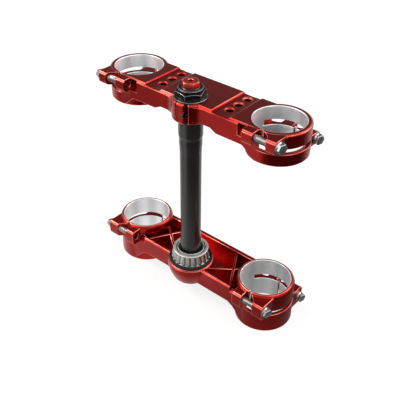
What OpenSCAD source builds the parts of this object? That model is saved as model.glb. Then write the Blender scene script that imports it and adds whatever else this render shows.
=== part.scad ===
/* [Forks] */
// Distance between the two fork tube axes
fork_spacing = 191; // [188:1:194]
// How far the fork axes stand ahead of the steering axis
fork_offset = 22; // [21:0.5:23]
// Diameter of the fork tubes in the upper clamp
upper_fork_d = 54; // [53:0.5:54.5]
// Diameter of the fork tubes in the lower clamp
lower_fork_d = 58; // [57:0.5:58.5]

/* [Steering] */
// Height of the upper clamp's top face over the lower bearing seat
top_face_z = 216; // [200:1:220]
// Diameter of the stem between its two bearing seats
stem_d = 24; // [23:0.5:25]
// Bore of the lower steering bearing
bearing_bore_d = 30; // [29.5:0.5:30]
// Number of rollers in the lower bearing
roller_count = 20; // [18:1:20]

/* [Upper clamp] */
// Height of the eyes of the upper clamp
upper_eye_h = 35.5; // [34:0.5:37]
// Share of an upper eye's height that its upper band takes
upper_band_share = 0.437; // [0.42:0.005:0.45]
// Thickness of the plate at the bar mounts
plate_h = 23.5; // [22:0.5:24]
// Depth of the two seats for the bar mounts
bar_seat_depth = 2; // [1:0.5:3]
// Tapping diameter of the bar mount holes
bar_hole_d = 8.5; // [8:0.5:10]
// Distance between the holes of one bar mount
bar_hole_pitch = 15; // [14:0.5:16]
// Distance of the bar mount holes from the middle
bar_hole_x = 45.5; // [45:0.5:46]

/* [Lower clamp] */
// Height of the eyes of the lower clamp
lower_eye_h = 55; // [52:0.5:58]
// Share of a lower eye's height that its upper band takes
lower_band_share = 0.418; // [0.41:0.005:0.43]
// How far the lower eyes rise over the bearing seat
eye_rise = 9; // [8:0.5:10]
// Depth of the web from its rails to its underside
web_h = 25.5; // [24:0.5:28]

/* [Pinch bolts] */
// Thread diameter of the fork pinch bolts
bolt_d = 8; // [7:0.5:8]
// Length of a fork pinch bolt under its head
bolt_length = 35; // [34:0.5:36]
// Width across the flats of a pinch bolt's head
bolt_flats = 10; // [9:0.5:11]

/* [Hidden] */
bearing_rollers = [for (i = [1 : roller_count]) str("bearing_roller_", i)];

$fn = 96;
eps = 0.01;
through = 100;

clamp_red = "#8f0f12";
steel_black = "#26262a";
steel_bright = "#c9cbd0";
cap_red = "#b3161b";
rubber_black = "#1b1b1d";

fork_x = fork_spacing / 2;

// Eye walls, and the rim round the top of an eye as steps of inset and drop from its outer wall
upper_eye_r = upper_fork_d / 2 + 5.7;
lower_eye_r = lower_fork_d / 2 + 5;
upper_rim = [[1.8, 0], [0.5, 0.8], [0, 2]];
lower_rim = [[2.6, 0], [0.9, 1.7], [0, 4.4]];
boss_rim = [[1.6, 0], [0, 1.6]];
upper_band_h = upper_eye_h * upper_band_share;
lower_band_h = lower_eye_h * lower_band_share;
slot_h = 6;
upper_slot_in_x = fork_x - upper_fork_d / 2 + 1.5;
lower_slot_in_x = fork_x - lower_fork_d / 2 + 3.5;
bore_chamfer = 0.6;

bolt_flange_r = bolt_flats / 2 + 1.3;
bolt_head_h = bolt_d - 2.2;
bolt_turn = 15;
bolt_play = 0.25;
thread_play = 0.05;

// The split of a band, its gap between the lugs and the lugs, measured outward from the fork axis
split_x = 1.2;
split_w = 2;
split_out_x = split_x + split_w / 2;
gap_in_x = -3.5;
gap_flare = [[0, 0], [3, 1.2], [6.3, 3.6], [9.2, 7.4], [10.3, 11]];
inner_lug_x = -16;
lug_round = 4.6;
lug_blend_r = 8;
lug_blend_drop = 1.4;
lug_steps = [[1, 0], [0.5, 0.13], [0.13, 0.5], [0, 1]];
run_out_r = 7.4;
run_out_length = 11;

// Upper clamp
stem_journal_d = stem_d - 4;
upper_bolt_y = upper_fork_d / 2 + bolt_d / 2 + 3.5;
upper_lug_x = upper_fork_d / 2 - 3.8;
upper_lug_reach = upper_bolt_y + 6.5;
upper_near_y = fork_offset - upper_eye_r + 0.5;
upper_far_y = fork_offset + upper_eye_r - 7.7;
upper_waist_y = upper_far_y - 1.4;
upper_far_corner_x = fork_x - upper_eye_r + 1.2;
plate_arch = 4;
plate_arch_in_x = bar_hole_x - 11.5;
plate_arch_out_x = bar_hole_x - 3.5;
plate_chamfer = 2.6;
far_chamfer = 1.4;
upper_far_blend_r = 20;
boss_r = stem_journal_d / 2 + 10;
boss_h = 24;
skirt_depth = 12;
upper_skirt = [[22, 0], [19.5, 0.08], [15, 0.4], [10.5, 0.76], [5.5, 1]];
saddle_slope_w = 12;
saddle_near_y = fork_offset - upper_eye_r + 10.7;
saddle_far_y = fork_offset + upper_eye_r - 12.7;
bar_seat_in_x = bar_hole_x - 12;
bar_seat_out_x = bar_hole_x + 12;
bar_hole_chamfer = 1.2;
upper_rear_bolt_z = -upper_band_h / 2;
upper_front_bolt_z = (-upper_band_h - slot_h - upper_eye_h) / 2;

// Pinch of the stem boss: its bolt lies in a counterbore that opens into a notch beside the split
boss_blend_r = 20;
boss_bolt_d = 5;
boss_bolt_z = -12.5;
boss_bolt_seat_x = 1;
boss_bolt_length = 10;
boss_bolt_head_d = 8.5;
boss_bolt_head_h = 5;
boss_counterbore_d = 9.2;
boss_bolt_y = stem_journal_d / 2 + 0.6 + boss_counterbore_d / 2;
boss_notch_x = 6;
boss_notch_w = 4.4;
boss_notch_depth = 5;
boss_split_x = -3.5;
boss_split_w = 1;

// Lower clamp
lower_bolt_y = lower_fork_d / 2 + bolt_d / 2 + 3.8;
lower_lug_x = lower_fork_d / 2 - 3.1;
lower_lug_reach = lower_bolt_y + 6.2;
lower_near_y = fork_offset - lower_eye_r + 1;
lower_far_y = fork_offset + lower_eye_r - 6;
lower_far_blend_r = 15;
lower_boss_blend_r = 12;
rail_z = -1;
web_bottom_z = rail_z - web_h;
lower_boss_waist_z = -8;
near_rail_w = 3.5;
far_rail_w = 6;
lower_boss_r = 28;
lower_boss_foot_r = 21;
web_floor_z = -16;
rib_top_z = -3;
lower_skirt = [[30, 0], [23, 0.17], [18.5, 0.36], [13.5, 0.63], [9, 0.86], [5, 1]];
rib_w = 3;
cross_x = 51;
cross_y = fork_offset - 2.5;
cross_angles = [38, -60];
lower_top_z = eye_rise;
lower_rear_bolt_z = -lower_band_h / 2;
lower_front_bolt_z = (-lower_band_h - slot_h - lower_eye_h) / 2;

// Stem, from its pressed foot to the thread for the nut
press_d = bearing_bore_d + 2;
stem_foot_z = web_bottom_z + 1;
stem_waist_z = 40;
stem_taper_h = 13;
upper_seat_drop = 47;
stem_shoulder_d = stem_d + 1.4;
upper_seat_z = top_face_z - upper_seat_drop;
stem_taper_z = upper_seat_z - stem_taper_h - 6;
upper_seat_d = stem_d + 3;
stem_bore_d = 14;
nut_h = 12;
stem_top_z = top_face_z + nut_h;

// Nut and cap
nut_flats = 29;
nut_turn = -10;
nut_flange_r = 18;
nut_flange_h = 4;
nut_hex_h = 8.5;
nut_collar_r = 13.6;
cap_flats = 17;
cap_h = 6.5;
cap_spigot_h = 9;
cap_socket_flats = 6;

// Lower bearing
bearing_h = 17;
race_rib_r = 22;
race_rib_h = 2.4;
race_chamfer = 0.5;
roller_tilt = 11;
roller_length = 11;
roller_r_large = 2.6;
roller_r_small = 2.25;
roller_low_z = 3.35;
roller_low_r = 21;
running_gap = 0.05;
cage_low_z = 2.6;
cage_low_r = 23.2;
cage_high_z = 14.8;
cage_high_r = 21;
cage_in = 0.3;
cage_out = 1.5;
cage_foot_h = 0.8;
cage_ring_h = 1.6;
cage_ring_w = 3.2;
seal_r = 26.5;
seal_lip_h = 4;

module both_sides() {
    children();
    mirror([1, 0, 0]) children();
}

module at_fork() {
    translate([fork_x, fork_offset, 0]) children();
}

// An outline in the Y-Z plane, drawn out along X from x0 to x1
module along_x(x0, x1) {
    translate([x0, 0, 0])
        rotate([90, 0, 90]) linear_extrude(x1 - x0) children();
}

// An outline in the X-Z plane, drawn out along Y from y0 to y1
module along_y(y0, y1) {
    translate([0, y1, 0])
        rotate([90, 0, 0]) linear_extrude(y1 - y0) children();
}

module rod_x(r, x0, x1) {
    translate([x0, 0, 0]) rotate([0, 90, 0]) cylinder(r = r, h = x1 - x0);
}

// A turned solid with its top face at z = 0; rim is its top edge and foot is its inset underneath
module turned_post(r, h, rim, foot) {
    rotate_extrude()
        polygon(concat([[0, 0]], [for (step = rim) [r - step[0], -step[1]]],
                       [[r, -h + foot], [r - foot, -h], [0, -h]]));
}

// The bore of an eye with a chamfer at both mouths
module eye_bore(d, h) {
    translate([0, 0, -h - 1]) cylinder(d = d, h = h + 2, $fn = 128);
    for (mouth = [[0, 0], [-h, 180]])
        translate([0, 0, mouth[0]]) rotate([mouth[1], 0, 0])
            translate([0, 0, -bore_chamfer])
                cylinder(r1 = d / 2, r2 = d / 2 + 2 * bore_chamfer, h = 2 * bore_chamfer, $fn = 128);
}

// The two lugs of a band, reaching away from the eye toward -Y. The outer one blends into the eye.
module band_lugs(reach, eye_r, out_x, z0, z1) {
    translate([0, 0, z0]) linear_extrude(z1 - z0 - lug_blend_drop)
        mirror([0, 1]) rotate(-90) eye_blend(out_x, eye_r, lug_blend_r);
    for (lug = [[inner_lug_x, gap_in_x], [split_x, out_x]])
        along_x(lug[0], lug[1])
            polygon(concat([[-20, z1], [-20, z0]],
                           [for (step = lug_steps)
                               [-reach + step[0] * lug_round, z0 + step[1] * lug_round]],
                           [for (i = [3 : -1 : 0])
                               [-reach + lug_steps[i][0] * lug_round, z1 - lug_steps[i][1] * lug_round]]));
}

// What is cut from a band: the gap between its lugs, the split, the bolt's holes and its run-out.
// The gap flares from the split out along the outer lug.
module band_cuts(bolt_y, eye_r, out_x, bolt_z, z0, z1) {
    floor_y = bolt_y - bolt_d / 2 - 0.6;
    flare_out = gap_flare[len(gap_flare) - 1];
    translate([0, 0, z0 - eps]) linear_extrude(z1 - z0 + 2 * eps)
        polygon(concat([[gap_in_x, -through], [gap_in_x, -floor_y]],
                       [for (step = gap_flare) [split_out_x + step[0], -floor_y - step[1]]],
                       [[split_out_x + flare_out[0], -through]]));
    translate([split_x - split_w / 2, -eye_r - 1, z0 - eps])
        cube([split_w, eye_r, z1 - z0 + 2 * eps]);
    translate([0, -bolt_y, bolt_z]) {
        rod_x(bolt_d / 2 + bolt_play, split_out_x, out_x + 30);
        rod_x(bolt_d / 2 + thread_play, inner_lug_x - 1, gap_in_x + 1);
        rod_x(run_out_r, inner_lug_x - run_out_length, inner_lug_x);
    }
}

// The slot between the two bands of an eye. It starts at the gap on the near side, where the inner
// lug stands on the wall, and at in_x on the far side.
module eye_slot(in_x, band_h) {
    translate([0, 0, -band_h - slot_h]) linear_extrude(slot_h)
        polygon([[fork_x + gap_in_x, -through], [fork_x + gap_in_x, fork_offset], [in_x, fork_offset],
                 [in_x, through], [2 * through, through], [2 * through, -through]]);
}

// The near wall of a clamp runs down into the lower band of its eyes: skirt lists the distance from
// the fork axis and the drop as a share of drop_h
module eye_skirt(near_y, depth, top_z, drop_h, skirt) {
    along_y(near_y, near_y + depth)
        polygon(concat([[fork_x, top_z + 4], [fork_x - skirt[0][0], top_z + 4]],
                       [for (step = skirt) [fork_x - step[0], top_z - step[1] * drop_h]],
                       [[fork_x, top_z - drop_h]]));
}

// Plan of the corner between a straight edge at y = edge and an eye, rounded to a blend
module eye_blend(edge, eye_r, blend_r) {
    dx = sqrt(pow(eye_r + blend_r, 2) - pow(edge + blend_r, 2));
    share = eye_r / (eye_r + blend_r);
    difference() {
        polygon([[-dx, edge - 3], [-dx, edge], [-dx * share, (edge + blend_r) * share],
                 [-dx * share + 4, edge - 3]]);
        translate([-dx, edge + blend_r]) circle(r = blend_r + 0.08);
    }
}

module upper_plate() {
    intersection() {
        translate([0, 0, -through]) linear_extrude(2 * through)
            polygon([[-fork_x, upper_near_y], [fork_x, upper_near_y], [fork_x, upper_far_y],
                     [upper_far_corner_x, upper_far_y], [bar_hole_x, upper_waist_y],
                     [boss_r, upper_far_y], [-boss_r, upper_far_y], [-bar_hole_x, upper_waist_y],
                     [-upper_far_corner_x, upper_far_y], [-fork_x, upper_far_y]]);
        along_y(-through, through)
            polygon([[-fork_x, 0], [-fork_x, -plate_h], [-plate_arch_out_x, -plate_h],
                     [-plate_arch_in_x, -plate_h + plate_arch],
                     [plate_arch_in_x, -plate_h + plate_arch], [plate_arch_out_x, -plate_h],
                     [fork_x, -plate_h], [fork_x, 0]]);
        along_x(-through, through)
            polygon([[upper_near_y, -through], [upper_near_y, -plate_chamfer],
                     [upper_near_y + plate_chamfer, 0], [upper_far_y - far_chamfer, 0],
                     [upper_far_y, -far_chamfer], [upper_far_y, -through]]);
    }
}

// The thickening that carries the lower band of an upper eye under the plate
module upper_saddle() {
    along_y(saddle_near_y, saddle_far_y)
        polygon([[upper_slot_in_x - saddle_slope_w, -plate_h + 1], [upper_slot_in_x, -upper_eye_h + 2],
                 [upper_slot_in_x, -plate_h + 1]]);
}

module bar_seat() {
    along_y(-through, through)
        polygon([[bar_seat_in_x, 0], [bar_seat_in_x, eps], [bar_seat_out_x, eps],
                 [bar_seat_out_x, 0], [bar_seat_out_x - bar_seat_depth, -bar_seat_depth],
                 [bar_seat_in_x + bar_seat_depth, -bar_seat_depth]]);
    for (i = [-1 : 1])
        translate([bar_hole_x, fork_offset + i * bar_hole_pitch, 0]) {
            translate([0, 0, -through]) cylinder(d = bar_hole_d, h = through);
            translate([0, 0, -bar_seat_depth - bar_hole_chamfer])
                cylinder(r1 = bar_hole_d / 2, r2 = bar_hole_d / 2 + 2 * bar_hole_chamfer,
                         h = 2 * bar_hole_chamfer);
        }
}

module boss_pinch_cuts() {
    surface_y = -sqrt(boss_r * boss_r - boss_notch_x * boss_notch_x);
    translate([0, 0, -boss_h - 1]) linear_extrude(boss_h + 2)
        polygon([[boss_notch_x, surface_y - 5], [boss_notch_x, surface_y + boss_notch_depth],
                 [boss_notch_x + 1.5, surface_y + boss_notch_depth + 0.3],
                 [boss_notch_x + boss_notch_w + 1.2, surface_y + 2],
                 [boss_notch_x + boss_notch_w + 1.2, surface_y - 5]]);
    translate([boss_split_x - boss_split_w / 2, -through, -boss_h - 1])
        cube([boss_split_w, through, boss_h + 2]);
    translate([0, -boss_bolt_y, boss_bolt_z]) {
        rod_x(boss_counterbore_d / 2, boss_bolt_seat_x, boss_notch_x + 1);
        rod_x(boss_bolt_d / 2 + 0.25, boss_split_x, boss_bolt_seat_x + 1);
        rod_x(boss_bolt_d / 2 + 0.05, boss_bolt_seat_x - boss_bolt_length - 0.5, boss_split_x);
    }
}

module upper_clamp() {
    color(clamp_red) translate([0, 0, top_face_z]) difference() {
        union() {
            upper_plate();
            turned_post(boss_r, boss_h, boss_rim, 2.4);
            both_sides() mirror([0, 1, 0]) translate([0, 0, -plate_h + plate_arch])
                linear_extrude(plate_h - plate_arch - plate_chamfer)
                    eye_blend(-upper_near_y, boss_r, boss_blend_r);
            both_sides() {
                at_fork() {
                    turned_post(upper_eye_r, upper_eye_h, upper_rim, 1.2);
                    band_lugs(upper_lug_reach, upper_eye_r, upper_lug_x, -upper_band_h, -0.6);
                    mirror([0, 1, 0])
                        band_lugs(upper_lug_reach, upper_eye_r, upper_lug_x, -upper_eye_h + 0.6,
                                  -upper_band_h - slot_h);
                    translate([0, 0, -plate_h]) linear_extrude(plate_h - far_chamfer)
                        eye_blend(upper_far_y - fork_offset, upper_eye_r, upper_far_blend_r);
                }
                upper_saddle();
                eye_skirt(upper_near_y, skirt_depth, -plate_h, upper_eye_h - plate_h - 0.3, upper_skirt);
            }
        }
        both_sides() {
            at_fork() {
                eye_bore(upper_fork_d, upper_eye_h);
                band_cuts(upper_bolt_y, upper_eye_r, upper_lug_x, upper_rear_bolt_z,
                          -upper_band_h, 0);
                mirror([0, 1, 0])
                    band_cuts(upper_bolt_y, upper_eye_r, upper_lug_x, upper_front_bolt_z,
                              -upper_eye_h, -upper_band_h - slot_h);
            }
            eye_slot(upper_slot_in_x, upper_band_h);
            bar_seat();
        }
        translate([0, 0, -boss_h - 1]) cylinder(d = stem_journal_d + 0.04, h = boss_h + 2);
        boss_pinch_cuts();
    }
}

// Plan of the pocket between the bearing boss and an eye
module web_pocket() {
    difference() {
        translate([0, lower_near_y + near_rail_w])
            square([fork_x, lower_far_y - far_rail_w - lower_near_y - near_rail_w]);
        circle(r = lower_boss_r - 0.5);
        translate([fork_x, fork_offset]) circle(r = lower_eye_r - 0.5);
    }
}

// Plan of the two crossed ribs in a pocket
module web_ribs() {
    for (angle = cross_angles)
        translate([cross_x, cross_y]) rotate(angle) square([fork_x, rib_w], center = true);
}

module lower_web() {
    intersection() {
        translate([0, 0, -through]) linear_extrude(2 * through)
            polygon([[-fork_x, lower_near_y], [fork_x, lower_near_y], [fork_x, lower_far_y],
                     [-fork_x, lower_far_y]]);
        along_x(-fork_x, fork_x)
            polygon([[lower_near_y, web_bottom_z + 2], [lower_near_y, rail_z - 1.5],
                     [lower_near_y + 1.5, rail_z], [lower_far_y - 1.2, rail_z],
                     [lower_far_y, rail_z - 1.2], [lower_far_y, web_bottom_z + 5],
                     [lower_far_y - 5, web_bottom_z], [lower_near_y + 2, web_bottom_z]]);
    }
}

// The bearing boss is turned in toward its foot
module lower_boss() {
    rotate_extrude()
        polygon([[0, 0], [lower_boss_r - 1.4, 0], [lower_boss_r, -1.4],
                 [lower_boss_r, lower_boss_waist_z], [lower_boss_r - 1.6, lower_boss_waist_z - 6],
                 [lower_boss_r - 3.8, lower_boss_waist_z - 12], [lower_boss_foot_r, web_bottom_z],
                 [0, web_bottom_z]]);
}

module lower_boss_blend() {
    intersection() {
        mirror([0, 1, 0]) translate([0, 0, web_bottom_z]) linear_extrude(rail_z - web_bottom_z - 1)
            eye_blend(-lower_near_y, lower_boss_r, lower_boss_blend_r);
        along_x(0, fork_x)
            polygon([[-lower_boss_r, 0], [-lower_boss_r, lower_boss_waist_z - 1],
                     [lower_near_y - 2, web_bottom_z], [0, web_bottom_z], [0, 0]]);
    }
}

module lower_clamp() {
    color(clamp_red) difference() {
        union() {
            difference() {
                lower_web();
                both_sides() translate([0, 0, web_floor_z]) linear_extrude(through) difference() {
                    web_pocket();
                    web_ribs();
                }
                both_sides() translate([0, 0, rib_top_z]) linear_extrude(through) web_pocket();
            }
            lower_boss();
            both_sides() lower_boss_blend();
            translate([0, 0, lower_top_z]) both_sides() at_fork() {
                turned_post(lower_eye_r, lower_eye_h, lower_rim, 1.2);
                band_lugs(lower_lug_reach, lower_eye_r, lower_lug_x, -lower_band_h, -3);
                mirror([0, 1, 0])
                    band_lugs(lower_lug_reach, lower_eye_r, lower_lug_x, -lower_eye_h + 3,
                              -lower_band_h - slot_h);
            }
            both_sides() at_fork() translate([0, 0, web_bottom_z + 5]) linear_extrude(web_h - 6.2)
                eye_blend(lower_far_y - fork_offset, lower_eye_r, lower_far_blend_r);
            both_sides() eye_skirt(lower_near_y, skirt_depth, web_bottom_z + 2,
                                   lower_eye_h - lower_top_z + web_bottom_z + 1.7, lower_skirt);
        }
        translate([0, 0, lower_top_z]) both_sides() {
            at_fork() {
                eye_bore(lower_fork_d, lower_eye_h);
                band_cuts(lower_bolt_y, lower_eye_r, lower_lug_x, lower_rear_bolt_z,
                          -lower_band_h, 0);
                mirror([0, 1, 0])
                    band_cuts(lower_bolt_y, lower_eye_r, lower_lug_x, lower_front_bolt_z,
                              -lower_eye_h, -lower_band_h - slot_h);
            }
            eye_slot(lower_slot_in_x, lower_band_h);
        }
        translate([0, 0, web_bottom_z - 1]) cylinder(d = press_d, h = 2 - web_bottom_z);
    }
}

module steering_stem() {
    color(steel_black) rotate_extrude()
        polygon([[stem_bore_d / 2, stem_foot_z], [press_d / 2 - 1, stem_foot_z],
                 [press_d / 2, stem_foot_z + 1], [press_d / 2, 0], [bearing_bore_d / 2, 0],
                 [bearing_bore_d / 2, bearing_h - 7], [stem_d / 2 + 0.3, bearing_h - 5],
                 [stem_d / 2, stem_waist_z], [stem_d / 2, stem_taper_z],
                 [stem_shoulder_d / 2, stem_taper_z + stem_taper_h], [stem_shoulder_d / 2, upper_seat_z],
                 [upper_seat_d / 2, upper_seat_z + 4], [upper_seat_d / 2, top_face_z - boss_h],
                 [stem_journal_d / 2, top_face_z - boss_h], [stem_journal_d / 2, stem_top_z - 0.8],
                 [stem_journal_d / 2 - 0.8, stem_top_z], [stem_bore_d / 2, stem_top_z]]);
}

module stem_nut() {
    color(steel_black) translate([0, 0, top_face_z]) difference() {
        union() {
            rotate_extrude()
                polygon([[0, 0], [nut_flange_r, 0], [nut_flange_r, 1.4],
                         [nut_flats / 2, nut_flange_h], [0, nut_flange_h]]);
            intersection() {
                rotate(nut_turn) cylinder(d = nut_flats / cos(30), h = nut_hex_h, $fn = 6);
                rotate_extrude()
                    polygon([[0, 0], [nut_flange_r, 0], [nut_flange_r, nut_hex_h - 1.6],
                             [nut_collar_r + 0.6, nut_hex_h], [0, nut_hex_h]]);
            }
            rotate_extrude()
                polygon([[0, 0], [nut_collar_r, 0], [nut_collar_r, nut_h - 0.9],
                         [nut_collar_r - 0.9, nut_h], [0, nut_h]]);
        }
        translate([0, 0, -1]) cylinder(d = stem_journal_d + 0.1, h = nut_h + 2);
    }
}

module stem_cap() {
    color(cap_red) translate([0, 0, stem_top_z]) difference() {
        union() {
            intersection() {
                rotate(80) cylinder(d = cap_flats / cos(30), h = cap_h, $fn = 6);
                rotate_extrude()
                    polygon([[0, 0], [cap_flats / 2 + 0.4, 0], [cap_flats / 2 + 1.4, 1],
                             [cap_flats / 2 + 1.4, cap_h - 1.6], [cap_flats / 2 - 0.6, cap_h],
                             [0, cap_h]]);
            }
            translate([0, 0, -cap_spigot_h]) cylinder(d = stem_bore_d - 0.1, h = cap_spigot_h + 1);
        }
        translate([0, 0, cap_h - 5])
            cylinder(d = cap_socket_flats / cos(30), h = 6, $fn = 6);
    }
}

// A hexagon flange bolt along X with its head toward +X and the seat of its head at x = 0
module flange_bolt(d, length, flats, flange_r, head_h) {
    rotate([0, 90, 0]) difference() {
        union() {
            rotate_extrude()
                polygon([[0, 0], [flange_r, 0], [flange_r, 1], [flats / 2, 2.2], [0, 2.2]]);
            intersection() {
                cylinder(d = flats / cos(30), h = head_h, $fn = 6);
                rotate_extrude()
                    polygon([[0, 0], [flats, 0], [flats, head_h - 2.4],
                             [flats / 2 - 0.4, head_h], [0, head_h]]);
            }
            rotate_extrude()
                polygon([[0, 1], [d / 2, 1], [d / 2, -length + 1], [d / 2 - 1, -length],
                         [0, -length]]);
        }
        translate([0, 0, head_h - 1.6]) cylinder(d = flats - 4.5, h = 2);
    }
}

// A fork pinch bolt seated on the outer lug of a band; rear is -1 at the rear and 1 at the front
module fork_pinch_bolt(top_z, out_x, bolt_y, bolt_z, rear) {
    color(steel_bright) translate([fork_x + out_x, fork_offset + rear * bolt_y, top_z + bolt_z])
        rotate([bolt_turn, 0, 0])
            flange_bolt(bolt_d, bolt_length, bolt_flats, bolt_flange_r, bolt_head_h);
}

module upper_right_rear_pinch_bolt() {
    fork_pinch_bolt(top_face_z, upper_lug_x, upper_bolt_y, upper_rear_bolt_z, -1);
}

module upper_right_front_pinch_bolt() {
    fork_pinch_bolt(top_face_z, upper_lug_x, upper_bolt_y, upper_front_bolt_z, 1);
}

module upper_left_rear_pinch_bolt() {
    mirror([1, 0, 0]) upper_right_rear_pinch_bolt();
}

module upper_left_front_pinch_bolt() {
    mirror([1, 0, 0]) upper_right_front_pinch_bolt();
}

module lower_right_rear_pinch_bolt() {
    fork_pinch_bolt(lower_top_z, lower_lug_x, lower_bolt_y, lower_rear_bolt_z, -1);
}

module lower_right_front_pinch_bolt() {
    fork_pinch_bolt(lower_top_z, lower_lug_x, lower_bolt_y, lower_front_bolt_z, 1);
}

module lower_left_rear_pinch_bolt() {
    mirror([1, 0, 0]) lower_right_rear_pinch_bolt();
}

module lower_left_front_pinch_bolt() {
    mirror([1, 0, 0]) lower_right_front_pinch_bolt();
}

// A socket head bolt along X with its head toward +X, in the counterbore of the stem boss
module stem_pinch_bolt() {
    color(steel_bright)
        translate([boss_bolt_seat_x, -boss_bolt_y, top_face_z + boss_bolt_z]) rotate([0, 90, 0])
            difference() {
                union() {
                    translate([0, 0, -boss_bolt_length])
                        cylinder(d = boss_bolt_d, h = boss_bolt_length + 1);
                    cylinder(d = boss_bolt_head_d, h = boss_bolt_head_h);
                }
                translate([0, 0, boss_bolt_head_h - 2.5]) cylinder(d = 4 / cos(30), h = 3, $fn = 6);
            }
}

// The cone of rollers is tapered: each roller leans in toward the steering axis at its top
module roller_places() {
    for (i = [0 : roller_count - 1])
        roller_place(i) children();
}

module roller_place(i) {
    rotate([0, 0, 360 / roller_count * i])
        translate([roller_low_r, 0, roller_low_z]) rotate([0, -roller_tilt, 0]) children();
}

// The raceway's radius under the rollers at the height of their lower ends and along their length
function race_r(z) =
    roller_low_r - roller_r_large / cos(roller_tilt) - running_gap / cos(roller_tilt)
    - (z - roller_low_z) * tan(roller_tilt - taper_half);

// Distance of the rollers' axes from the steering axis at a height
function roller_axis_r(z) = roller_low_r - (z - roller_low_z) * tan(roller_tilt);

taper_half = atan((roller_r_large - roller_r_small) / roller_length);

module bearing_inner_race() {
    bore_r = bearing_bore_d / 2;
    color(steel_bright) rotate_extrude()
        polygon([[bore_r, race_chamfer], [bore_r + race_chamfer, 0], [race_rib_r - race_chamfer, 0],
                 [race_rib_r, race_chamfer], [race_rib_r, race_rib_h],
                 [race_r(race_rib_h), race_rib_h], [race_r(bearing_h - 1), bearing_h - 1],
                 [race_r(bearing_h - 1) - 0.3, bearing_h], [bore_r + race_chamfer, bearing_h],
                 [bore_r, bearing_h - race_chamfer]]);
}

module bearing_roller(i) {
    color(steel_bright) roller_place(i)
        cylinder(r1 = roller_r_large, r2 = roller_r_small, h = roller_length, $fn = 48);
}

// The cage is a cone of bars between the rollers, with a ring at each end of them
module bearing_cage() {
    color(steel_bright) difference() {
        rotate_extrude()
            polygon([[roller_axis_r(cage_low_z) + cage_in, cage_low_z], [cage_low_r, cage_low_z],
                     [cage_low_r, cage_low_z + cage_foot_h],
                     [roller_axis_r(cage_low_z + cage_foot_h) + cage_out, cage_low_z + cage_foot_h],
                     [roller_axis_r(cage_high_z) + cage_out, cage_high_z], [cage_high_r, cage_high_z],
                     [cage_high_r, cage_high_z + 1.1], [cage_high_r - 0.5, cage_high_z + cage_ring_h],
                     [cage_high_r - cage_ring_w, cage_high_z + cage_ring_h],
                     [cage_high_r - cage_ring_w, cage_high_z],
                     [roller_axis_r(cage_high_z) + cage_in, cage_high_z]]);
        roller_places() translate([0, 0, -0.1])
            cylinder(r1 = roller_r_large + running_gap, r2 = roller_r_small + running_gap,
                     h = roller_length + 0.2, $fn = 48);
    }
}

module bearing_dust_seal() {
    color(rubber_black) rotate_extrude()
        polygon([[race_rib_r, 0], [seal_r - 0.5, 0], [seal_r, 0.5], [seal_r, 2],
                 [seal_r - 1.2, seal_lip_h], [seal_r - 1.9, seal_lip_h], [seal_r - 2.3, 2.2],
                 [race_rib_r, 2.2]]);
}

upper_clamp();
lower_clamp();
steering_stem();
stem_nut();
stem_cap();
stem_pinch_bolt();
bearing_inner_race();
bearing_cage();
bearing_dust_seal();
upper_left_rear_pinch_bolt();
upper_left_front_pinch_bolt();
upper_right_rear_pinch_bolt();
upper_right_front_pinch_bolt();
lower_left_rear_pinch_bolt();
lower_left_front_pinch_bolt();
lower_right_rear_pinch_bolt();
lower_right_front_pinch_bolt();
for (i = [1 : roller_count])
    bearing_roller(i - 1);
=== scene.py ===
import math

import bmesh
import bpy
from mathutils import Matrix, Vector


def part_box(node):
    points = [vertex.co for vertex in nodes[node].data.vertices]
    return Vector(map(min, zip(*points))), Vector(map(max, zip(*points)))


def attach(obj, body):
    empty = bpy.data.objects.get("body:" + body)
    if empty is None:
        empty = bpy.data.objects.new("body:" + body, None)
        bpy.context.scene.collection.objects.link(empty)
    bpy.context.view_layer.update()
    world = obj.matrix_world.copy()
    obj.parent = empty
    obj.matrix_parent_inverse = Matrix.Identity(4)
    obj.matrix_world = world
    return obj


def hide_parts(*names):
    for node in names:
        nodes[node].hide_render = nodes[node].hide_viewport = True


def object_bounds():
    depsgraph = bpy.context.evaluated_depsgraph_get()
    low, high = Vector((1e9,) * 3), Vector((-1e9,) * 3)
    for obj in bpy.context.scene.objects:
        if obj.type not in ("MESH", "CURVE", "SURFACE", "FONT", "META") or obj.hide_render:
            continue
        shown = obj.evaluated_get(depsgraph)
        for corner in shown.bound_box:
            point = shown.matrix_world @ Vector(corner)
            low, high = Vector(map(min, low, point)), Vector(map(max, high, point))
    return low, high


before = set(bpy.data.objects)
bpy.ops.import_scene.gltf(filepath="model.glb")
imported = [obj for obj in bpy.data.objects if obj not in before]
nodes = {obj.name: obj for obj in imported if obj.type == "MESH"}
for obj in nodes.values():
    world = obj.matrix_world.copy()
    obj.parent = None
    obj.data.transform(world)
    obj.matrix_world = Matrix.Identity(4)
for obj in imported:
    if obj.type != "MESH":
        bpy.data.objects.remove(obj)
cadLow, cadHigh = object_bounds()
bpy.ops.object.select_all(action="DESELECT")
mm = 0.001  # Blender works in metres


camera = {
    "target": (-4.78, 22.0, 70.67),  # mm, the point in the middle of the picture
    "azimuth": 40.06,  # degrees, 0 looks along +Y
    "elevation": 36.05,  # degrees
    "roll": 0.51,  # degrees
    "distance": 761.85,  # mm
    "lens": 58.03,  # mm
    "sensor": 36.0,  # mm
    "nearest": 0.01,  # metres
    "furthest": 100.0,  # metres
}


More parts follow.
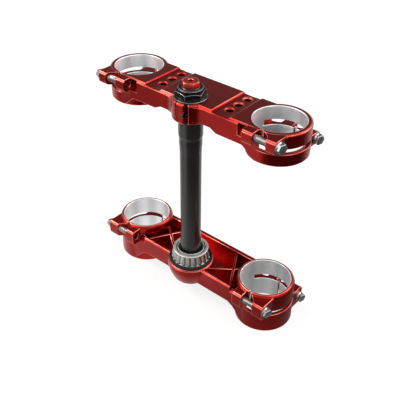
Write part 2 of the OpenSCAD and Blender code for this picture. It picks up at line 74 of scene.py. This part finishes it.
def addCamera():
    v = camera
    az, el, roll = (math.radians(v[angle]) for angle in ("azimuth", "elevation", "roll"))
    back = Vector((math.sin(az) * math.cos(el), -math.cos(az) * math.cos(el), math.sin(el)))
    right = Vector((math.cos(az), math.sin(az), 0))
    up = back.cross(right)
    tiltedRight = right * math.cos(roll) + up * math.sin(roll)
    tiltedUp = back.cross(tiltedRight)
    bpy.ops.object.camera_add()
    cam = bpy.context.object
    cam.name = "studioCamera"
    cam.matrix_world = Matrix((tiltedRight, tiltedUp, back)).transposed().to_4x4()
    cam.location = (Vector(v["target"]) + back * v["distance"]) * mm
    cam.data.sensor_width = v["sensor"]
    cam.data.lens = v["lens"]
    cam.data.clip_start = v["nearest"]
    cam.data.clip_end = v["furthest"]
    bpy.context.scene.camera = cam
    cam.select_set(False)
    print("camera set", flush=True)


addCamera()
bpy.context.scene.view_settings.view_transform = "Standard"


# helpers for node trees, where owner is the material or the world that the nodes belong to
def newMaterial(name):
    mat = bpy.data.materials.new(name)
    mat.use_nodes = True
    mat.node_tree.nodes.clear()
    return mat


def addNode(owner, kind, **settings):
    node = owner.node_tree.nodes.new(kind)
    for key, value in settings.items():
        setattr(node, key, value)
    return node


def join(owner, fromSocket, toSocket):
    owner.node_tree.links.new(fromSocket, toSocket)


def mathNode(owner, operation, first, second=None, third=None):
    node = addNode(owner, "ShaderNodeMath", operation=operation)
    for index, value in enumerate((first, second, third)):
        if isinstance(value, (int, float)):
            node.inputs[index].default_value = value
        elif value is not None:
            join(owner, value, node.inputs[index])
    return node.outputs[0]


def vectorNode(owner, operation, first, second=None):
    node = addNode(owner, "ShaderNodeVectorMath", operation=operation)
    join(owner, first, node.inputs[0])
    if second is not None:
        node.inputs[1].default_value = second
    return node.outputs["Vector" if operation == "NORMALIZE" else "Value"]


def objectCoords(owner):
    return addNode(owner, "ShaderNodeTexCoord").outputs["Object"]


def noiseNode(owner, coords, scale, detail, stretch=None):
    if stretch:
        mapping = addNode(owner, "ShaderNodeMapping")
        mapping.inputs["Scale"].default_value = stretch
        join(owner, coords, mapping.inputs["Vector"])
        coords = mapping.outputs["Vector"]
    noise = addNode(owner, "ShaderNodeTexNoise")
    noise.inputs["Scale"].default_value = scale
    noise.inputs["Detail"].default_value = detail
    join(owner, coords, noise.inputs["Vector"])
    return noise.outputs["Fac"]


def rangeNode(owner, value, span, lowOut, highOut, interpolation="LINEAR"):
    node = addNode(owner, "ShaderNodeMapRange", interpolation_type=interpolation)
    node.inputs["From Min"].default_value, node.inputs["From Max"].default_value = span
    node.inputs["To Min"].default_value = lowOut
    node.inputs["To Max"].default_value = highOut
    join(owner, value, node.inputs["Value"])
    return node.outputs["Result"]


def mixColour(owner, factor, first, second):
    node = addNode(owner, "ShaderNodeMix", data_type="RGBA")
    join(owner, factor, node.inputs[0])
    for socket, colour in ((node.inputs[6], first), (node.inputs[7], second)):
        if isinstance(colour, tuple):
            socket.default_value = (*colour, 1)
        else:
            join(owner, colour, socket)
    return node.outputs[2]


def bumpNode(owner, height, depth):
    node = addNode(owner, "ShaderNodeBump")
    node.inputs["Distance"].default_value = depth * mm
    join(owner, height, node.inputs["Height"])
    return node.outputs["Normal"]


def surfaceOf(mat, colour, roughness, normal, uniform):
    shader = addNode(mat, "ShaderNodeBsdfPrincipled")
    for socket, value in uniform.items():  # what is the same all over sits on the shader itself
        shader.inputs[socket].default_value = value
    join(mat, colour, shader.inputs["Base Color"])
    join(mat, roughness, shader.inputs["Roughness"])
    join(mat, normal, shader.inputs["Normal"])
    out = addNode(mat, "ShaderNodeOutputMaterial")
    join(mat, shader.outputs[0], out.inputs["Surface"])
    return shader


def scaled(colour, share):
    return tuple(part * share for part in colour)


noise = {
    "toneSpan": (0.35, 0.65),  # the part of a noise that a slow change of colour uses
    "toneDetail": 3.0,
    "grainSpan": (0.3, 0.7),  # and the part that a fine grain uses
    "grainDetail": 2.0,
}


def slowTone(mat, coords, scale):
    tone = noiseNode(mat, coords, scale, noise["toneDetail"])
    return rangeNode(mat, tone, noise["toneSpan"], 0.0, 1.0)


anodised = {
    "clampDye": ((0.31, 0.005, 0.0025), (0.38, 0.007, 0.003)),  # deep and pale
    "paintedEdgeHighlight": ((0.42, 0.03, 0.018), (0.8, 0.24, 0.18)),  # painted highlight: a paler red on the broken edges, for the light they catch
    "capDye": ((0.6, 0.03, 0.015), (0.72, 0.05, 0.025)),
    "bareMetal": ((0.62, 0.62, 0.635), (0.95, 0.95, 0.955)),  # in the fork bores
    "toneScale": 35.0,
    "reflectionBandStretch": (42.0, 42.0, 0.0),  # painted reflection: soft light and dark bands that run down a bore
    "reflectionBandSpan": (0.36, 0.64),
    "grainScale": 900.0,
    "ringStretch": (6.0, 6.0, 2600.0),  # fine rings that a boring bar leaves
    "roughness": 0.3,
    "grainRoughness": (-0.03, 0.05),
    "boreRoughness": 0.16,  # added in the bores
    "grainHeight": 0.35,
    "ringHeight": 1.6,
    "depth": 0.004,  # mm
    "coat": 0.15,
    "coatRoughness": 0.12,
    "coatIor": 1.7,
    "forkSpacing": 191.0,  # mm between the fork bores
    "forkOffset": 22.0,  # mm in front of the stem
    "upperBore": 27.0,  # mm, radius
    "lowerBore": 29.0,
    "boreSlack": 0.75,  # mm, how far past the bore the bare metal reaches, over its own bevel
    "boreFade": 0.1,  # mm
}


def inForkBore(mat, coords, boreRadius):
    v = anodised
    parts = addNode(mat, "ShaderNodeSeparateXYZ")
    join(mat, coords, parts.inputs[0])
    besideStem = mathNode(mat, "ABSOLUTE", parts.outputs["X"])
    acrossX = mathNode(mat, "SUBTRACT", besideStem, v["forkSpacing"] / 2 * mm)
    acrossY = mathNode(mat, "SUBTRACT", parts.outputs["Y"], v["forkOffset"] * mm)
    squares = [mathNode(mat, "POWER", across, 2.0) for across in (acrossX, acrossY)]
    away = mathNode(mat, "SQRT", mathNode(mat, "ADD", *squares))
    reach = (boreRadius + v["boreSlack"]) * mm
    return rangeNode(mat, away, (reach, reach + v["boreFade"] * mm), 1.0, 0.0)


def redAnodised(name, boreRadius, dye):
    v = anodised
    mat = newMaterial(name)
    coords = objectCoords(mat)
    inBore = inForkBore(mat, coords, boreRadius)
    red = mixColour(mat, slowTone(mat, coords, v["toneScale"]), *dye)
    # painted reflection: soft bands of darker and paler bare metal down the fork bores
    paintedReflectionBands = noiseNode(mat, coords, 1.0, 1.0, v["reflectionBandStretch"])
    bare = mixColour(mat, rangeNode(mat, paintedReflectionBands, v["reflectionBandSpan"], 0.0, 1.0), *v["bareMetal"])
    grain = noiseNode(mat, coords, v["grainScale"], noise["grainDetail"])
    rings = noiseNode(mat, coords, 1.0, 1.0, v["ringStretch"])
    boreRings = mathNode(mat, "MULTIPLY", rings, inBore)
    height = mathNode(
        mat,
        "ADD",
        mathNode(mat, "MULTIPLY", grain, v["grainHeight"]),
        mathNode(mat, "MULTIPLY", boreRings, v["ringHeight"]),
    )
    roughness = mathNode(
        mat,
        "ADD",
        rangeNode(mat, grain, noise["grainSpan"], *v["grainRoughness"]),
        mathNode(mat, "MULTIPLY_ADD", inBore, v["boreRoughness"], v["roughness"]),
    )
    shader = surfaceOf(
        mat,
        mixColour(mat, inBore, red, bare),
        roughness,
        bumpNode(mat, height, v["depth"]),
        {"Metallic": 1.0, "Coat IOR": v["coatIor"], "Coat Roughness": v["coatRoughness"]},
    )
    coat = mathNode(mat, "MULTIPLY_ADD", inBore, -v["coat"], v["coat"])  # none on bare metal
    join(mat, coat, shader.inputs["Coat Weight"])
    return mat


metal = {
    "toneScale": 120.0,
    "darker": 0.86,
    "grainScale": 1400.0,
    "smoother": -0.04,
    "rougher": 0.06,
}


def machinedMetal(name, colour, roughness, depth=0.004):
    v = metal
    mat = newMaterial(name)
    coords = objectCoords(mat)
    darker = scaled(colour, v["darker"])
    base = mixColour(mat, slowTone(mat, coords, v["toneScale"]), darker, colour)
    grain = noiseNode(mat, coords, v["grainScale"], noise["grainDetail"])
    grained = (roughness + v["smoother"], roughness + v["rougher"])
    surfaceOf(
        mat,
        base,
        rangeNode(mat, grain, noise["grainSpan"], *grained),
        bumpNode(mat, grain, depth),
        {"Metallic": 1.0},
    )
    return mat


oxide = {
    "toneScale": 60.0,
    "lighter": 1.5,
    "grainScale": 1600.0,
    "smoother": -0.05,
    "rougher": 0.07,
    "depth": 0.006,  # mm
}


def blackOxide(name, colour, roughness, specular, coat, coatRoughness, stretch=None):
    v = oxide
    mat = newMaterial(name)
    coords = objectCoords(mat)
    lighter = scaled(colour, v["lighter"])
    base = mixColour(mat, slowTone(mat, coords, v["toneScale"]), colour, lighter)
    grain = noiseNode(mat, coords, v["grainScale"], noise["grainDetail"], stretch)
    grained = (roughness + v["smoother"], roughness + v["rougher"])
    surfaceOf(
        mat,
        base,
        rangeNode(mat, grain, noise["grainSpan"], *grained),
        bumpNode(mat, grain, v["depth"]),
        {
            "Specular IOR Level": specular,
            "Coat Weight": coat,
            "Coat Roughness": coatRoughness,
        },
    )
    return mat


rubber = {
    "shades": ((0.006, 0.006, 0.0065), (0.012, 0.012, 0.0125)),
    "grainScale": 2200.0,
    "grainDetail": 3.0,
    "roughness": (0.5, 0.66),
    "specular": 0.2,
    "depth": 0.01,  # mm
}


def sealRubber(name):
    v = rubber
    mat = newMaterial(name)
    coords = objectCoords(mat)
    grain = noiseNode(mat, coords, v["grainScale"], v["grainDetail"])
    surfaceOf(
        mat,
        mixColour(mat, rangeNode(mat, grain, noise["grainSpan"], 0.0, 1.0), *v["shades"]),
        rangeNode(mat, grain, noise["grainSpan"], *v["roughness"]),
        bumpNode(mat, grain, v["depth"]),
        {"Specular IOR Level": v["specular"]},
    )
    return mat


reds = {
    "upperClampRed": ("upperBore", "clampDye"),
    "lowerClampRed": ("lowerBore", "clampDye"),
    # the two edge reds are paler, a painted highlight on the broken edges
    "upperEdgeHighlightRed": ("upperBore", "paintedEdgeHighlight"),
    "lowerEdgeHighlightRed": ("lowerBore", "paintedEdgeHighlight"),
    "capRed": ("upperBore", "capDye"),
}

# colour, roughness, and the depth of a ground grain in mm
metals = {
    "darkSteel": ((0.1, 0.1, 0.105), 0.25),
    # painted highlight: a paler black on the nut's broken edges, for the light they catch
    "nutEdgeHighlightBlack": ((0.2, 0.2, 0.21), 0.3),
    "boltSteel": ((0.42, 0.42, 0.41), 0.3),
    "rollerSteel": ((0.46, 0.455, 0.44), 0.22, 0.002),
    "raceSteel": ((0.7, 0.7, 0.69), 0.55, 0.002),
    "cageSteel": ((0.62, 0.6, 0.57), 0.5),
}

# colour, roughness, specular level, coat and its roughness, and the stretch of a drawn grain
blacks = {
    "stemBlack": ((0.006, 0.005, 0.0045), 0.27, 0.55, 0.12, 0.15, (20.0, 20.0, 1.0)),
    "nutBlack": ((0.003, 0.003, 0.003), 0.14, 0.1, 0.0, 0.04),
}

finishes = {"sealRubber": sealRubber("sealRubber")}
for name, (bore, dye) in reds.items():
    finishes[name] = redAnodised(name, anodised[bore], anodised[dye])
for name, facts in metals.items():
    finishes[name] = machinedMetal(name, *facts)
for name, facts in blacks.items():
    finishes[name] = blackOxide(name, *facts)
print(len(finishes), "finishes mixed", flush=True)

finishByNode = {
    "upper_clamp": "upperClampRed",
    "lower_clamp": "lowerClampRed",
    "stem_cap": "capRed",
    "steering_stem": "stemBlack",
    "stem_nut": "nutBlack",
    "stem_pinch_bolt": "darkSteel",
    "bearing_dust_seal": "sealRubber",
    "bearing_inner_race": "raceSteel",
    "bearing_cage": "cageSteel",
}


def finishOf(name):
    if name.startswith("bearing_roller"):
        return finishes["rollerSteel"]
    return finishes[finishByNode.get(name, "boltSteel")]


def copyOf(source, name):
    bpy.ops.object.select_all(action="DESELECT")
    source.select_set(True)
    bpy.context.view_layer.objects.active = source
    bpy.ops.object.duplicate()
    piece = bpy.context.object
    piece.name = name
    piece.data.materials.clear()
    return piece


# the machined pieces whose outer corners are broken: width of the bevel in mm, its segments and
# its finish, which on the red pieces and the nut is a paler painted highlight, and the body and
# slot of the piece
easedEdges = {
    "upper_clamp": {
        "width": 0.5,
        "segments": 2,
        "edge": "upperEdgeHighlightRed",
        "body": "clamp_set",
        "slot": "red_anodised",
    },
    "lower_clamp": {
        "width": 0.6,
        "segments": 2,
        "edge": "lowerEdgeHighlightRed",
        "body": "clamp_set",
        "slot": "red_anodised",
    },
    "stem_cap": {
        "width": 0.5,
        "segments": 2,
        "edge": "upperEdgeHighlightRed",
        "body": "clamp_set",
        "slot": "red_anodised",
    },
    "stem_nut": {
        "width": 0.35,
        "segments": 2,
        "edge": "nutEdgeHighlightBlack",
        "body": "clamp_set",
        "slot": "black_oxide",
    },
    "stem_pinch_bolt": {
        "width": 0.3,
        "segments": 2,
        "edge": "darkSteel",
        "body": "clamp_set",
        "slot": "plain_steel",
    },
    "bearing_cage": {
        "width": 0.12,
        "segments": 1,
        "edge": "cageSteel",
        "body": "roller_cage",
        "slot": "bearing_steel",
    },
}

meshRules = {
    "flatWithin": 0.8,  # degrees, faces that are merged into one
    "sharpFrom": 28.0,  # degrees between two faces, from which their edge is broken
    "smoothWithin": 32.0,  # degrees, shaded as one surface
    "mergeWithin": 0.002,  # mm
    "thinnest": 0.001,  # mm, shorter edges are dissolved
    "passes": 3,  # the flaps that a bevel leaves fold away a ring at a time
}


def straysOf(mesh):
    mesh.verts.index_update()
    byCorners = {}
    for face in mesh.faces:
        corners = frozenset(vert.index for vert in face.verts)
        byCorners.setdefault(corners, []).append(face)
    strays = {face for faces in byCorners.values() if len(faces) > 1 for face in faces}
    for face in mesh.faces:
        shared = [len(edge.link_faces) for edge in face.edges]
        if min(shared) == 1 and max(shared) > 2:
            strays.add(face)
    return sorted(strays, key=lambda face: face.index)


def clearFolded(piece):
    v = meshRules
    removed = 0
    bpy.ops.object.mode_set(mode="EDIT")
    for turn in range(v["passes"]):
        bpy.ops.mesh.select_all(action="SELECT")
        bpy.ops.mesh.remove_doubles(threshold=v["mergeWithin"] * mm)
        bpy.ops.mesh.dissolve_degenerate(threshold=v["thinnest"] * mm)
        bpy.ops.mesh.select_all(action="SELECT")
        bpy.ops.mesh.quads_convert_to_tris(quad_method="BEAUTY", ngon_method="BEAUTY")
        mesh = bmesh.from_edit_mesh(piece.data)
        strays = straysOf(mesh)
        removed += len(strays)
        bmesh.ops.delete(mesh, geom=strays, context="FACES")
        bmesh.update_edit_mesh(piece.data)
        bpy.ops.mesh.select_all(action="SELECT")
        bpy.ops.mesh.delete_loose(use_verts=True, use_edges=True, use_faces=False)
    mesh = bmesh.from_edit_mesh(piece.data)
    odd = sum(len(edge.link_faces) != 2 for edge in mesh.edges)
    bpy.ops.object.mode_set(mode="OBJECT")
    print(piece.name, "lost", removed, "stray faces and has", odd, "odd edges", flush=True)


def markCorners(piece):
    mesh = bmesh.from_edit_mesh(piece.data)
    weights = mesh.edges.layers.float.new("bevel_weight_edge")
    sharp = math.radians(meshRules["sharpFrom"])
    for edge in mesh.edges:  # inner corners stay as the cutter left them
        outer = edge.is_manifold and edge.is_convex and edge.calc_face_angle(0) > sharp
        edge[weights] = 1.0 if outer else 0.0
    bmesh.update_edit_mesh(piece.data)


def easeEdges(nodeName):
    v = meshRules
    facts = easedEdges[nodeName]
    piece = copyOf(nodes[nodeName], "eased_" + nodeName)
    piece.data.materials.append(finishOf(nodeName))
    piece.data.materials.append(finishes[facts["edge"]])
    bpy.ops.object.mode_set(mode="EDIT")
    bpy.ops.mesh.select_all(action="SELECT")
    bpy.ops.mesh.remove_doubles(threshold=v["mergeWithin"] * mm)
    bpy.ops.mesh.dissolve_limited(angle_limit=math.radians(v["flatWithin"]))
    markCorners(piece)
    bpy.ops.object.mode_set(mode="OBJECT")
    bpy.ops.object.shade_smooth_by_angle(angle=math.radians(v["smoothWithin"]))
    bevel = piece.modifiers.new("easedEdges", "BEVEL")
    bevel.width = facts["width"] * mm
    bevel.segments = facts["segments"]
    bevel.limit_method = "WEIGHT"
    bevel.use_clamp_overlap = False
    bevel.material = 1  # the edge's finish, the piece's second; on the red pieces and the nut a paler painted highlight
    bpy.ops.object.modifier_apply(modifier=bevel.name)
    clearFolded(piece)
    normals = piece.modifiers.new("flatFaces", "WEIGHTED_NORMAL")
    normals.keep_sharp = True
    bpy.ops.object.modifier_apply(modifier=normals.name)
    piece.select_set(False)
    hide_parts(nodeName)
    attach(piece, facts["body"])
    print(piece.name, "has", len(piece.data.polygons), "faces", flush=True)


for name in easedEdges:
    easeEdges(name)


# the flanged bolt of the fork eyes, modelled along X with the flange's seat at 0
pinchBolt = {
    "flats": 10.0,  # mm across the hexagon, and mm from here on
    "headHeight": 5.8,
    "headBevel": 0.7,
    "headBevelSegments": 3,
    "flangeRadius": 6.25,
    "flangeHeight": 1.0,
    "flangeBevel": 0.25,
    "coneHeight": 1.2,
    "coneInside": 0.1,  # the cone ends this far inside the flats
    "length": 35.0,
    "radius": 3.98,
    "rootRadius": 3.4,
    "plainLength": 13.0,
    "shankSunk": 1.0,  # into the flange
    "shankBevel": 0.5,
    "tipLength": 1.4,
    "tipBevel": 0.6,
    "pitch": 1.25,
    "threadSunk": 0.4,  # into the shank
    "toothMergeWithin": 0.002,
    "headLean": 15.0,  # degrees that the hexagon leans from the bolt's axis, 0 sets it square
    "smoothWithin": 25.0,  # degrees
    "endFacing": 0.95,  # cosine, a face squarer to the axis than this is the bar's end
    "flangeSides": 48,
    "shankSides": 32,
    "threadSides": 24,
    "bevelSegments": 2,
}

# one tooth of the thread: share of the pitch along, share of the thread's height outwards
toothMoves = ((0.12, 0), (0.32, 1), (0.12, 0), (0.32, -1), (0.12, 0))


def startBar(sides, radius, low, high, lean=0.0):
    bpy.ops.mesh.primitive_cylinder_add(
        vertices=sides,
        radius=radius * mm,
        depth=(high - low) * mm,
        location=((low + high) / 2 * mm, 0, 0),
        rotation=(math.radians(lean), math.radians(90), 0),
    )
    bar = bpy.context.object
    bpy.ops.object.transform_apply(location=True, rotation=True, scale=True)
    bpy.ops.object.mode_set(mode="EDIT")
    bpy.ops.mesh.select_mode(type="FACE")
    return bar


def selectEnd(bar, side):  # side is 1 towards the head and -1 towards the tip
    mesh = bmesh.from_edit_mesh(bar.data)
    for face in mesh.faces:
        face.select_set(face.normal.x * side > pinchBolt["endFacing"])
    mesh.select_flush_mode()
    bmesh.update_edit_mesh(bar.data)


def bevelEnd(bar, side, width, segments):
    selectEnd(bar, side)
    bpy.ops.mesh.bevel(offset=width * mm, segments=segments, affect="EDGES")


def putDown(piece):
    bpy.ops.object.mode_set(mode="OBJECT")
    piece.select_set(False)
    return piece


def boltHead():
    v = pinchBolt
    corners = v["flats"] / 2 / math.cos(math.radians(30))
    head = startBar(6, corners, 0, v["headHeight"], v["headLean"])
    bevelEnd(head, 1, v["headBevel"], v["headBevelSegments"])
    return putDown(head)


def boltFlange():
    v = pinchBolt
    flange = startBar(v["flangeSides"], v["flangeRadius"], 0, v["flangeHeight"])
    bevelEnd(flange, 1, v["flangeBevel"], v["bevelSegments"])
    selectEnd(flange, 1)
    narrow = (v["flats"] / 2 - v["coneInside"]) / (v["flangeRadius"] - v["flangeBevel"])
    rise = (v["coneHeight"] * mm, 0, 0)
    bpy.ops.mesh.extrude_region_move(TRANSFORM_OT_translate={"value": rise})
    bpy.ops.transform.resize(value=(1, narrow, narrow), center_override=(0, 0, 0))
    return putDown(flange)


def boltShank():
    v = pinchBolt
    shank = startBar(v["shankSides"], v["radius"], -v["plainLength"], v["shankSunk"])
    bevelEnd(shank, -1, v["shankBevel"], v["bevelSegments"])
    return putDown(shank)


def boltTip():
    v = pinchBolt
    end = -v["length"]
    tip = startBar(v["shankSides"], v["rootRadius"], end, end + v["tipLength"])
    bevelEnd(tip, -1, v["tipBevel"], v["bevelSegments"])
    return putDown(tip)


def boltThread():
    v = pinchBolt
    start = v["tipLength"] / 2 - v["length"]
    turns = int((v["threadSunk"] - v["plainLength"] - start) / v["pitch"])
    crest = (v["radius"] - v["rootRadius"]) * mm
    bpy.ops.mesh.primitive_plane_add(size=mm, location=(start * mm, 0, v["rootRadius"] * mm))
    thread = bpy.context.object
    bpy.ops.object.transform_apply(location=True, rotation=True, scale=True)
    bpy.ops.object.mode_set(mode="EDIT")
    bpy.ops.mesh.select_mode(type="VERT")
    bpy.ops.mesh.select_all(action="SELECT")
    bpy.ops.mesh.merge(type="CENTER")
    for along, outwards in toothMoves:
        move = (along * v["pitch"] * mm, 0, outwards * crest)
        bpy.ops.mesh.extrude_region_move(TRANSFORM_OT_translate={"value": move})
    bpy.ops.object.mode_set(mode="OBJECT")
    screw = thread.modifiers.new("helix", "SCREW")
    screw.axis = "X"
    screw.angle = math.radians(360)
    screw.screw_offset = v["pitch"] * mm
    screw.iterations = turns
    screw.steps = screw.render_steps = v["threadSides"]
    screw.use_merge_vertices = True
    screw.merge_threshold = v["toothMergeWithin"] * mm
    bpy.ops.object.modifier_apply(modifier=screw.name)
    bpy.ops.object.mode_set(mode="EDIT")
    bpy.ops.mesh.select_all(action="SELECT")
    bpy.ops.mesh.remove_doubles(threshold=v["toothMergeWithin"] * mm)
    bpy.ops.mesh.fill_holes(sides=0)
    bpy.ops.mesh.select_all(action="SELECT")
    bpy.ops.mesh.normals_make_consistent(inside=False)
    return putDown(thread)


def modelBolt():
    bpy.ops.object.select_all(action="DESELECT")
    parts = [boltHead(), boltFlange(), boltShank(), boltTip(), boltThread()]
    for part in parts:
        part.select_set(True)
    bpy.context.view_layer.objects.active = parts[0]
    bpy.ops.object.join()
    bolt = bpy.context.object
    bolt.name = "pinchBolt"
    bpy.ops.object.shade_smooth_by_angle(angle=math.radians(pinchBolt["smoothWithin"]))
    return bolt


def fitBolt(model, name):
    low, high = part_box(name)
    headRight = low.x + high.x > 0  # a head points away from the stem
    headHeight = pinchBolt["headHeight"] * mm
    seat = high.x - headHeight if headRight else low.x + headHeight
    bolt = copyOf(model, "threaded_" + name)
    bolt.data.materials.append(finishOf(name))
    bolt.location = (seat, (low.y + high.y) / 2, (low.z + high.z) / 2)
    bolt.rotation_euler = (0, 0, 0 if headRight else math.radians(180))
    bpy.ops.object.transform_apply(location=True, rotation=True, scale=True)
    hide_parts(name)
    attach(bolt, "clamp_set")


firstBolt = modelBolt()
boltNodes = [name for name in nodes if name.endswith("_pinch_bolt") and name not in easedEdges]
for name in boltNodes:
    fitBolt(firstBolt, name)
bpy.ops.object.select_all(action="DESELECT")
firstBolt.select_set(True)
bpy.ops.object.delete()
print(len(boltNodes), "pinch bolts modelled", flush=True)

for name, node in nodes.items():
    node.data.materials.clear()
    node.data.materials.append(finishOf(name))
print("finishes given to", len(nodes), "pieces", flush=True)


studio = {
    "floorHalf": 6.0,  # metres
    "floorColour": (0.93, 0.93, 0.93),
    "floorPaler": 1.01,
    "floorToneScale": 2.0,
    "floorGlow": 0.8,
    "glossGlow": 0.97,
    "poolCentre": (-0.12, -0.03, 0.0),  # metres, the centre of a pool of light painted into the floor's glow, which gloss sees
    "pool": (0.08, 0.33),  # metres, where it starts to fade and where it ends
    "poolLevel": 0.86,
    "nearSide": 0.05,  # what gloss sees of the floor further out, in front and behind the part
    "farSide": 0.9,
    "frontToward": (0.64, -0.77, 0.0),
    "frontRim": (-0.5, 0.1),
    "swath": 0.85,  # added along the line that the front walls mirror
    "swathToward": (-0.4, -0.917, 0.0),
    "swathRim": (0.88, 0.98),
    "sky": 0.85,
}


def addFloor():
    v = studio
    bpy.ops.mesh.primitive_plane_add(size=v["floorHalf"] * 2, location=(0, 0, cadLow.z))
    floor = bpy.context.object
    floor.name = "studioFloor"
    mat = newMaterial("paleFloor")
    coords = objectCoords(mat)
    seen = addNode(mat, "ShaderNodeLightPath").outputs
    tone = noiseNode(mat, coords, v["floorToneScale"], 1.0)
    paler = scaled(v["floorColour"], v["floorPaler"])
    diffuse = addNode(mat, "ShaderNodeBsdfDiffuse")
    join(mat, mixColour(mat, tone, v["floorColour"], paler), diffuse.inputs["Color"])
    # painted light: the floor glows as a pool of light, a swath that the front walls mirror, and a
    # darker near side and brighter far side, in what gloss sees
    away = vectorNode(mat, "DISTANCE", coords, v["poolCentre"])
    lit = mathNode(mat, "MULTIPLY", rangeNode(mat, away, v["pool"], 1.0, 0.0), v["poolLevel"])
    heading = vectorNode(mat, "NORMALIZE", coords)
    alongSwath = vectorNode(mat, "DOT_PRODUCT", heading, v["swathToward"])
    swath = rangeNode(mat, alongSwath, v["swathRim"], 0.0, v["swath"])
    alongFront = vectorNode(mat, "DOT_PRODUCT", heading, v["frontToward"])
    beyond = rangeNode(mat, alongFront, v["frontRim"], v["farSide"], v["nearSide"])
    pool = mathNode(mat, "MAXIMUM", lit, mathNode(mat, "ADD", swath, beyond))
    glow = addNode(mat, "ShaderNodeEmission")
    join(mat, mathNode(mat, "MAXIMUM", pool, seen["Is Camera Ray"]), glow.inputs["Strength"])
    direct = mathNode(mat, "MAXIMUM", seen["Is Camera Ray"], seen["Is Transmission Ray"])
    direct = mathNode(mat, "MULTIPLY", direct, v["floorGlow"])
    gloss = mathNode(mat, "MULTIPLY", seen["Is Glossy Ray"], v["glossGlow"])
    mixed = addNode(mat, "ShaderNodeMixShader")
    join(mat, mathNode(mat, "MAXIMUM", direct, gloss), mixed.inputs[0])
    join(mat, diffuse.outputs[0], mixed.inputs[1])
    join(mat, glow.outputs[0], mixed.inputs[2])
    out = addNode(mat, "ShaderNodeOutputMaterial")
    join(mat, mixed.outputs[0], out.inputs["Surface"])
    floor.data.materials.append(mat)
    floor.select_set(False)


# soft panels and one dark opening of the studio: direction, cosines of the soft rim, what is added
panels = {
    "darkOpening": {"toward": (-0.52, 0.62, 0.59), "rim": (0.78, 0.95), "add": -0.62},
    "farRight": {"toward": (0.59, 0.62, 0.52), "rim": (0.85, 0.95), "add": 3.0},
    "nearLeft": {"toward": (-0.56, -0.56, 0.62), "rim": (0.86, 0.96), "add": 2.8},
}


def addSky():
    world = bpy.data.worlds.new("studioSky")
    bpy.context.scene.world = world
    world.use_nodes = True
    world.node_tree.nodes.clear()
    toward = addNode(world, "ShaderNodeTexCoord").outputs["Generated"]
    seen = addNode(world, "ShaderNodeLightPath").outputs
    level = studio["sky"]
    for facts in panels.values():
        middle = Vector(facts["toward"]).normalized()
        facing = vectorNode(world, "DOT_PRODUCT", toward, middle)
        panel = rangeNode(world, facing, facts["rim"], 0.0, facts["add"], "SMOOTHSTEP")
        level = mathNode(world, "ADD", panel, level)
    backdrop = mathNode(world, "MAXIMUM", level, seen["Is Camera Ray"])
    sky = addNode(world, "ShaderNodeBackground")
    sky.inputs["Color"].default_value = (1, 1, 1, 1)
    join(world, backdrop, sky.inputs["Strength"])
    out = addNode(world, "ShaderNodeOutputWorld")
    join(world, sky.outputs[0], out.inputs["Surface"])


# place and size in metres
lamps = {
    "warmBox": {
        "from": (-0.76, -0.44, 0.85),
        "size": (0.26, 0.26),
        "watts": 4.5,
        "colour": (1.0, 0.8, 0.68),
    },
    "rightBox": {
        "from": (1.3, -0.2, 1.1),
        "size": (0.7, 0.7),
        "watts": 5,
        "colour": (1.0, 1.0, 1.0),
    },
}
lampAim = (0, 0.02, 0.08)  # metres


def addLamp(name, facts):
    bpy.ops.object.light_add(type="AREA", location=facts["from"])
    lamp = bpy.context.object
    lamp.name = name
    lamp.data.shape = "RECTANGLE"
    lamp.data.size, lamp.data.size_y = facts["size"]
    lamp.data.energy = facts["watts"]
    lamp.data.color = facts["colour"]
    aim = Vector(lampAim) - Vector(facts["from"])
    lamp.rotation_euler = aim.to_track_quat("-Z", "Y").to_euler()
    lamp.select_set(False)


addFloor()
addSky()
for name, facts in lamps.items():
    addLamp(name, facts)
print("studio set", flush=True)
